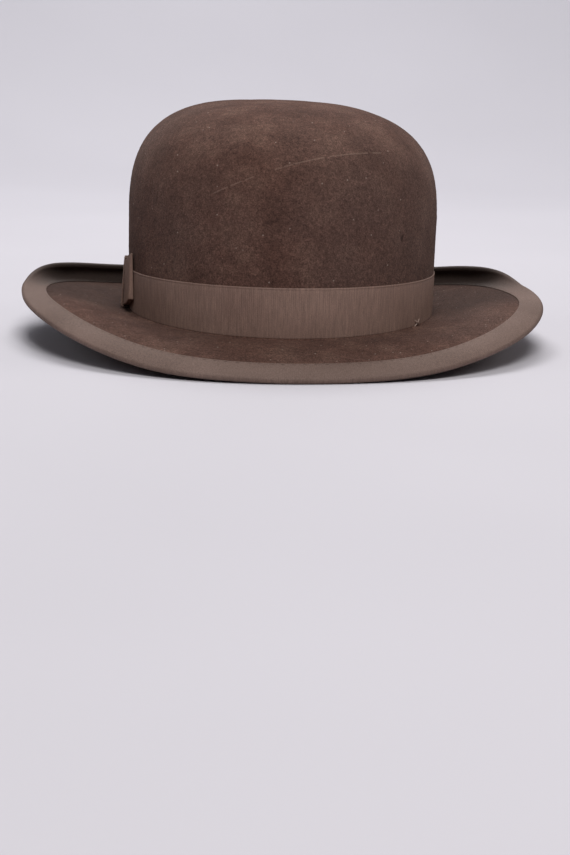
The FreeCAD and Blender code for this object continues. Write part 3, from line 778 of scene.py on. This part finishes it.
def wrap_path(near, far, foot, head, thickness, share):
    """Offsets and heights round a closed wrap with rounded corners."""
    turn = 2 * math.pi * share
    across = np.abs(np.cos(turn)) ** KNOT_SQUARENESS
    upright = np.abs(np.sin(turn)) ** KNOT_SQUARENESS
    size = (across + upright) ** (-1 / KNOT_SQUARENESS)
    wide = (far - near) / 2 - thickness
    tall = (head - foot) / 2 - thickness
    return (near + far) / 2 + wide * np.cos(turn) * size, (foot + head) / 2 + tall * np.sin(turn) * size


def ribbon_loop(name, path, place, ribs, thickness, material, node, pleats=0.0):
    """A closed loop of ribbon. path(thickness, share) runs round it and place(a, b, v) stands
    it at a share v of the ribbon's width."""
    share = np.linspace(0, 1, ribs * 12, endpoint=False)
    rib = rib_heights(share, ribs)
    rows = []
    for v, sink in soft_edge():
        fold = pleats * (0.5 - 0.5 * math.cos(6 * math.pi * v))
        rows.append(place(*path(thickness * 0.7 * sink - (rib - fold) * (1 - sink), share), v))
    for v in np.linspace(1, 0, 9):
        rows.append(place(*path(thickness * 0.95, share), v))
    return ring_piece(name, np.stack(rows), material, [node])


def bow_loop(name, direction, node, material):
    def path(thickness, share):
        return loop_path(0.4, BOW_HALF_LENGTH, BOW_OFFSET, BOW_LOOP_DEPTH, thickness, share)

    def place(distance, offset, v):
        height = bow_foot(direction, distance) + BOW_WIDTH * v
        return side_point(direction * distance, offset + bow_flare(offset, v), height)

    piece = ribbon_loop(name, path, place, BOW_RIBS, RIBBON, material, node)


def bow_knot(material):
    near = BOW_OFFSET - KNOT_RIBBON - 2 * GAP
    far = BOW_OFFSET + BOW_LOOP_DEPTH + KNOT_RIBBON + 2 * GAP
    head = bow_foot(1, KNOT_HALF_WIDTH) + BOW_WIDTH + KNOT_MARGIN

    def path(thickness, share):
        return wrap_path(near, far, BOW_FOOT - KNOT_MARGIN, head, thickness, share)

    def place(offset, height, v):
        rise = np.clip((height - BOW_FOOT) / BOW_WIDTH, 0, 1)
        return side_point(KNOT_HALF_WIDTH * (2 * v - 1), offset + bow_flare(offset, rise), height)

    piece = ribbon_loop("bow_knot_wrap", path, place, KNOT_RIBS, KNOT_RIBBON, material, "bow_knot",
                        KNOT_PLEATS)


# Threads

def stitch(place, count=9, sink=0.45):
    """A stitch whose ends dip into the cloth. place(share, drop) puts it on the surface."""
    share = np.linspace(0, 1, count)
    drop = sink * np.maximum(0, np.abs(2 * share - 1) - (1 - STITCH_DIP)) / STITCH_DIP
    return np.array([place(s, d) for s, d in zip(share, drop)]).reshape(count, 3)


def bow_stitches(material):
    offset = BOW_OFFSET + BOW_LOOP_DEPTH + THREAD + GAP
    distance = KNOT_HALF_WIDTH + 2.0
    bars = []
    for v in (0.3, 0.7):
        for direction in (-1, 1):
            stand = offset + bow_flare(offset, v)
            height = bow_foot(direction, distance) + BOW_WIDTH * v
            for shift in (-0.16, 0.0, 0.16):
                bars.append(stitch(lambda share, drop: side_point(direction * distance + shift, stand - drop,
                                                                   height + TACK_REACH * share)))
    thread_piece("bow_bar_tacks", bars, THREAD * 0.7, material, ["bow_stitches"])


def tack(angle, height, reach, offset, radius):
    """Two crossed stitches, one arched over the other."""
    turn = reach / CROWN_HALF_LENGTH
    lower = RIBBON + 2 * GAP + radius + offset
    paths = []
    for direction, lift in ((1, 0.0), (-1, 2 * radius + GAP)):
        paths.append(stitch(lambda share, drop: wall(
            angle + direction * turn * (2 * share - 1), height + reach * share,
            -(lower + lift * math.sin(math.pi * share) - drop)), 13))
    return paths


def band_tacks(material):
    paths = []
    for degrees in TACK_ANGLES:
        angle = math.radians(degrees)
        paths += tack(angle, band_top(angle) - 2 * TACK_REACH, TACK_REACH, 0.0, THREAD)
    thread_piece("band_edge_tacks", paths, THREAD, material, ["hat_band_tacks"])


def crossed_tack(material):
    paths = tack(math.radians(CROSSED_TACK_ANGLE), CROSSED_TACK_HEIGHT, CROSSED_TACK_REACH,
                 CROSSED_TACK_LIFT, CROSSED_TACK_THREAD)
    thread_piece("front_tack", paths, CROSSED_TACK_THREAD, material, ["crossed_tack"])


def binding_stitches(material):
    lift = BINDING_GAP + BINDING + THREAD + GAP
    half = STITCH / 2 / CURL_HALF_LENGTH
    paths = []
    for i in range(BINDING_STITCHES):
        angle = 2 * math.pi * (i + 0.5) / BINDING_STITCHES
        if abs(angle - math.pi / 2) < 2 * BINDING_LAP_HALF_LENGTH / CURL_HALF_LENGTH:
            continue
        for path in (STITCH_MARGIN, 3 - STITCH_MARGIN):
            paths.append(stitch(lambda share, drop: binding(
                np.array([angle + half * (2 * share - 1)]), path, np.array([lift - 0.14 - drop])), 7, 0.4))
    thread_piece("rim_stitches", paths, THREAD * 0.6, material, ["binding_stitches"])


# Inside: sweatband, reed and lining

def sweatband_face(height):
    lean = SWEATBAND_LEAN * (height - SWEATBAND_FOOT) / (SWEATBAND_HEIGHT - SWEATBAND_FOOT)
    return SWEATBAND_INSET + SWEATBAND + lean


def back_point(distance, rise, height):
    """By the sweatband's inner face: distance from the back's middle towards the wearer's
    right, rise off it into the hat, and height above the break."""
    return wall(math.pi / 2 + distance / CROWN_HALF_WIDTH, height, sweatband_face(height) + rise)


def sweatband(material):
    around_hat = angles(720)
    span = SWEATBAND_HEIGHT - SWEATBAND_FOOT
    rows = []
    for share, sink in soft_edge(30):
        height = SWEATBAND_FOOT + span * share
        wave = 0.05 * share * (np.sin(17 * around_hat + 0.3) + np.sin(29 * around_hat + 2))
        groove = sum(SWEATBAND_GROOVE * math.exp(-((height - line) / 0.35) ** 2)
                     for line in SWEATBAND_GROOVES)
        rows.append(wall(around_hat, height, sweatband_face(height) - 0.3 * sink - groove - np.abs(wave)))
    for share, sink in soft_edge(10)[::-1]:
        height = SWEATBAND_FOOT + span * share
        rows.append(wall(around_hat, height, sweatband_face(height) - SWEATBAND + 0.3 * sink))
    piece = ring_piece("leather_band", np.stack(rows), material, ["sweatband"])


def flat_patch(name, first, last, foot, head, rise, thickness, material, node):
    """A thin flat patch by the sweatband's inner face."""
    distance = np.linspace(first, last, 33)
    rounding = 0.25 * np.maximum(0, np.abs(np.linspace(-1, 1, 33)) - 0.9) / 0.1
    rows = [back_point(distance, rise + thickness * (1 - 0.5 * np.maximum(sink, rounding)),
                       foot + (head - foot) * share) for share, sink in soft_edge()]
    rows += [back_point(distance, rise, foot + (head - foot) * share) for share in (1.0, 0.5, 0.0)]
    strip_piece(name, np.stack(rows), material, [node])


def sweatband_details(thread, tape, label):
    behind = -SWEATBAND - GAP - SEAM_TAPE
    flat_patch("seam_tape", -SEAM_TAPE_HALF_WIDTH, SEAM_TAPE_HALF_WIDTH, 3.0, SWEATBAND_HEIGHT - 3.0,
               behind, SEAM_TAPE, tape, "sweatband_seam_tape")
    flat_patch("label", LABEL_DISTANCE - LABEL_HALF_LENGTH, LABEL_DISTANCE + LABEL_HALF_LENGTH, LABEL_FOOT,
               LABEL_FOOT + LABEL_WIDTH, GAP, LABEL, label, "size_label")
    seam = []
    for height in np.linspace(SMALL_BOW_FOOT + SMALL_BOW_WIDTH + 4, SWEATBAND_HEIGHT - 3, SEAM_STITCHES):
        seam.append(stitch(lambda share, drop: back_point(
            STITCH * (share - 0.5), THREAD + GAP - drop, height + STITCH / 2 * (share - 0.5))))
    thread_piece("seam_stitches", seam, THREAD, thread, ["sweatband_seam_stitches"])
    zigzag = []
    half = math.pi / SWEATBAND_STITCHES * 0.8
    for i in range(SWEATBAND_STITCHES):
        angle = 2 * math.pi * i / SWEATBAND_STITCHES
        rise = SWEATBAND_STITCH_RISE * (1 if i % 2 else -1) / 2
        middle = SWEATBAND_STITCH_FOOT + SWEATBAND_STITCH_RISE / 2
        inset = sweatband_face(middle + abs(rise)) + THREAD + GAP
        zigzag.append(stitch(lambda share, drop: wall(
            angle + half * (2 * share - 1), middle + rise * (2 * share - 1), inset - drop), 9, 0.3))
    thread_piece("foot_zigzag", zigzag, THREAD, thread, ["sweatband_stitches"])


def small_bow_loop(name, direction, node, material):
    def path(thickness, share):
        near = 2 * GAP + SMALL_RIBBON
        return loop_path(0.3, SMALL_BOW_HALF_LENGTH, near, SMALL_BOW_DEPTH, thickness, share)

    def place(distance, rise, v):
        return back_point(direction * distance, rise, SMALL_BOW_FOOT + SMALL_BOW_WIDTH * v)

    ribbon_loop(name, path, place, SMALL_BOW_RIBS, SMALL_RIBBON, material, node)


def small_bow_knot(material):
    margin = SMALL_RIBBON + 6 * GAP
    far = GAP + SMALL_BOW_DEPTH + 2 * SMALL_RIBBON + 2 * GAP
    head = SMALL_BOW_FOOT + SMALL_BOW_WIDTH + margin

    def path(thickness, share):
        return wrap_path(GAP, far, SMALL_BOW_FOOT - margin, head, thickness, share)

    def place(rise, height, v):
        return back_point(SMALL_KNOT_HALF_WIDTH * (2 * v - 1), rise, height)

    ribbon_loop("small_knot", path, place, SMALL_KNOT_RIBS, SMALL_RIBBON, material,
                "sweatband_bow_knot")


def about(centre, angle, turn, radius):
    """On an upright round section about a centre that faces outward at an angle."""
    out = np.stack([np.cos(angle), np.sin(angle), np.zeros_like(angle)], -1)
    radius = np.broadcast_to(radius, angle.shape)[:, None]
    return centre + out * radius * math.cos(turn) + np.array((0, 0, 1.0)) * radius * math.sin(turn)


def reed_and_casing(plastic, tape):
    around_hat = angles(900)
    centre = wall(around_hat, -REED_DROP, REED_INSET)
    turns = np.linspace(0, 2 * math.pi, 16, endpoint=False)
    rows = [about(centre, around_hat, turn, REED_RADIUS) for turn in turns]
    ring_piece("reed_ring", np.stack(rows), plastic, ["reed"])
    turns = np.radians(np.linspace(CASING_FIRST, CASING_LAST, 28))
    weave = 0.03 * np.sin(300 * around_hat)
    rows = [about(centre, around_hat, turn, CASING_RADIUS - 0.03 + weave) for turn in turns]
    rows += [about(centre, around_hat, turn, CASING_BORE_RADIUS) for turn in turns[::-1]]
    ring_piece("reed_sleeve", np.stack(rows), tape, ["reed_casing"])


def pleats(angle, share):
    """The folds of the lining's wall, gathered the closer the nearer they are to its top seam."""
    phase = 72 * angle + 1.6 * np.sin(5 * angle) + 0.8 * np.sin(11 * angle + 1)
    sharp = (0.5 + 0.5 * np.sin(phase)) ** 2 + 0.35 * (0.5 + 0.5 * np.sin(29 * angle + 2))
    return 0.75 * sharp * share ** 2


def lining_wall(material):
    around_hat = angles(1440)

    def gathered(station, share, inset):
        return crown_at(around_hat, station, inset + pleats(around_hat, share) * (1 - share ** 12))

    head = LINING_JOIN_STATION - LINING_JOIN_SEAM
    stations = np.concatenate([np.linspace(LINING_FOOT_STATION, 1, 16), np.linspace(1, head, 22)[1:]])
    shares = (stations - LINING_FOOT_STATION) / (head - LINING_FOOT_STATION)
    rows = [gathered(station, share, LINING_INSET) for station, share in zip(stations, shares)]
    rows += [gathered(station, share, LINING_INSET + LINING)
             for station, share in zip(stations[::-1], shares[::-1])]
    piece = ring_piece("satin_wall", np.stack(rows), material, ["lining_wall"])


def lining_tip(material):
    start = LINING_JOIN_STATION + LINING_JOIN_SEAM
    around_hat = angles(720)
    stations = np.linspace(start, 1.985, 40)
    rows = []
    for station in stations:
        rim = max(0.0, 1 - (station - start) / 0.12)
        pucker = 0.25 * rim * (0.5 + 0.5 * np.sin(90 * around_hat))
        rows.append(crown_at(around_hat, station, LINING_INSET + pucker))
    under = [row - np.array((0, 0, LINING)) for row in rows]
    section = np.stack(under + rows[::-1])
    count, columns = section.shape[:2]
    middle = len(under)
    faces = grid_faces(middle, columns, False, True)
    faces += grid_faces(middle, columns, False, True, middle * columns)
    top = crown_at(0.0, 2.0, LINING_INSET).reshape(1, 3)
    points = np.vstack([section.reshape(-1, 3), top - (0, 0, LINING), top])
    last_under = (middle - 1) * columns
    first_upper = middle * columns
    hub = count * columns
    for c in range(columns):
        d = (c + 1) % columns
        faces.append((last_under + c, last_under + d, hub))
        faces.append((first_upper + c, first_upper + d, hub + 1))
        faces.append((c, d, (count - 1) * columns + d, (count - 1) * columns + c))
    piece = mesh_piece("satin_tip", points, faces, material, ["lining_tip"])


def lining_piping(material):
    around_hat = angles(1800)
    centre = crown_at(around_hat, LINING_JOIN_STATION, LINING_INSET + LINING + PIPING_RADIUS + 2 * GAP)
    twist = 240 * around_hat
    rows = [about(centre, around_hat, turn, PIPING_RADIUS * (0.94 + 0.06 * np.cos(2 * turn - twist)))
            for turn in np.linspace(0, 2 * math.pi, 12, endpoint=False)]
    ring_piece("piping_cord", np.stack(rows), material, ["lining_piping"])


# Stage, lights and camera

def stage():
    shader = Shader("pale_floor", Roughness=0.9, Specular_IOR_Level=0.1)
    tone = shader.noise(3.0, 2, 0.5)
    shader.color(shader.ramp(tone, [(0.3, shade(196, 195, 202)), (0.7, shade(200, 199, 206))]))
    rest = cad_box[0][2] / MM - FLOOR_GAP
    bend_y = BACKDROP_Y - BACKDROP_BEND
    rows = [(y, rest) for y in np.linspace(FLOOR_FRONT, bend_y, 8)]
    for turn in np.linspace(0, math.pi / 2, 20)[1:]:
        rows.append((bend_y + BACKDROP_BEND * math.sin(turn), rest + BACKDROP_BEND * (1 - math.cos(turn))))
    rows.append((BACKDROP_Y, rest + BACKDROP_HEIGHT))
    points = []
    for y, z in rows:
        points += [(-FLOOR_HALF_WIDTH, y, z), (FLOOR_HALF_WIDTH, y, z)]
    faces = [(2 * i, 2 * i + 1, 2 * i + 3, 2 * i + 2) for i in range(len(rows) - 1)]
    mesh = bpy.data.meshes.new("floor")
    mesh.from_pydata((np.array(points) * MM).tolist(), [], faces)
    mesh.polygons.foreach_set("use_smooth", [True] * len(mesh.polygons))
    mesh.materials.append(shader.material)
    floor = bpy.data.objects.new("floor", mesh)
    bpy.context.scene.collection.objects.link(floor)


def area_light(name, place, aim, size, power, tint):
    light = bpy.data.lights.new(name, "AREA")
    light.shape = "RECTANGLE"
    light.size, light.size_y = size
    light.energy = power
    light.color = tint
    lamp = bpy.data.objects.new(name, light)
    lamp.location = place
    lamp.rotation_euler = (Vector(aim) - Vector(place)).to_track_quat("-Z", "Y").to_euler()
    bpy.context.scene.collection.objects.link(lamp)


def lights():
    area_light("overhead", (0.0, 0.65, 1.35), (0.0, 0.0, 0.08), (0.8, 0.6), 12.0, (1.0, 0.97, 0.95))
    area_light("left", (-1.3, -0.1, 0.8), (0.0, 0.0, 0.05), (0.5, 0.5), 1.5, (0.97, 0.98, 1.0))
    area_light("right", (1.3, -0.1, 0.8), (0.0, 0.0, 0.05), (0.5, 0.5), 2.5, (1.0, 0.92, 0.88))
    area_light("backdrop", (0.0, 0.9, 2.0), (0.0, 2.0, 0.35), (1.8, 0.6), 22.0, (1.0, 0.99, 1.0))
    area_light("front", (0.05, -1.2, 1.4), (0.0, 0.0, 0.05), (0.7, 0.7), 22.0, (1.0, 0.97, 0.95))
    world = bpy.data.worlds.new("studio")
    world.use_nodes = True
    background = world.node_tree.nodes["Background"]
    background.inputs["Color"].default_value = (*shade(214, 212, 220), 1.0)
    background.inputs["Strength"].default_value = 0.08
    bpy.context.scene.world = world


def camera():
    roll = Matrix.Rotation(math.radians(VIEW_ROLL), 3, "Y")
    pitch = Matrix.Rotation(math.radians(VIEW_ELEVATION), 3, "X")
    turn = Matrix.Rotation(math.radians(VIEW_TURN), 3, "Z")
    back = (roll @ pitch @ turn).transposed()
    centre = Vector((VIEW_RIGHT, VIEW_DISTANCE, VIEW_UP)) * MM
    right = back @ Vector((1, 0, 0))
    ahead = back @ Vector((0, 1, 0))
    up = back @ Vector((0, 0, 1))
    lens = bpy.data.cameras.new("camera")
    lens.sensor_fit = "VERTICAL"
    lens.sensor_height = SENSOR
    lens.sensor_width = SENSOR
    lens.lens = SENSOR * FOCAL_SHARE
    lens.clip_start = 0.05
    viewer = bpy.data.objects.new("camera", lens)
    place = Matrix((right, up, -ahead)).transposed().to_4x4()
    place.translation = -(back @ centre)
    viewer.matrix_world = place
    bpy.context.scene.collection.objects.link(viewer)
    bpy.context.scene.camera = viewer


camera()
stage()
lights()
bpy.context.scene.view_settings.view_transform = "Standard"

felt = felt_material()
ribbon = ribbon_material("band_ribbon", shade(120, 96, 86), shade(134, 110, 99), 0.06)
rim_ribbon = ribbon_material("rim_ribbon", shade(98, 80, 72), shade(112, 93, 85), 0.05, 0.75)
leather = plain_material("leather", shade(84, 52, 34), shade(106, 68, 45), 0.48, 60, 900, 0.0004)
tape = plain_material("woven_tape", shade(54, 40, 34), shade(70, 54, 46), 0.85, 90, 1800, 0.0003)
plastic = plain_material("reed_plastic", shade(150, 140, 122), shade(172, 162, 144), 0.35, 60, 900, 0.0001)
thread = plain_material("brown_thread", shade(78, 60, 52), shade(98, 78, 68), 0.7, 300, 2600, 0.0002)
pale_thread = plain_material("pale_thread", shade(142, 122, 112), shade(182, 160, 150), 0.7, 300, 2600,
                             0.0002)
paper = plain_material("label_paper", shade(204, 196, 180), shade(218, 210, 196), 0.8, 60, 900, 0.0001)
satin = satin_material()
felt_body(felt)
hat_band(ribbon)
band_lap(ribbon)
brim_binding(rim_ribbon)
binding_lap(rim_ribbon)
bow_loop("bow_front", 1, "bow_front_loop", ribbon)
bow_loop("bow_rear", -1, "bow_rear_loop", ribbon)
bow_knot(ribbon)
bow_stitches(thread)
band_tacks(thread)
crossed_tack(pale_thread)
binding_stitches(rim_ribbon)
sweatband(leather)
sweatband_details(thread, tape, paper)
small_bow_loop("small_loop_right", 1, "sweatband_bow_right_loop", tape)
small_bow_loop("small_loop_left", -1, "sweatband_bow_left_loop", tape)
small_bow_knot(tape)
reed_and_casing(plastic, tape)
lining_wall(satin)
lining_tip(satin)
lining_piping(tape)
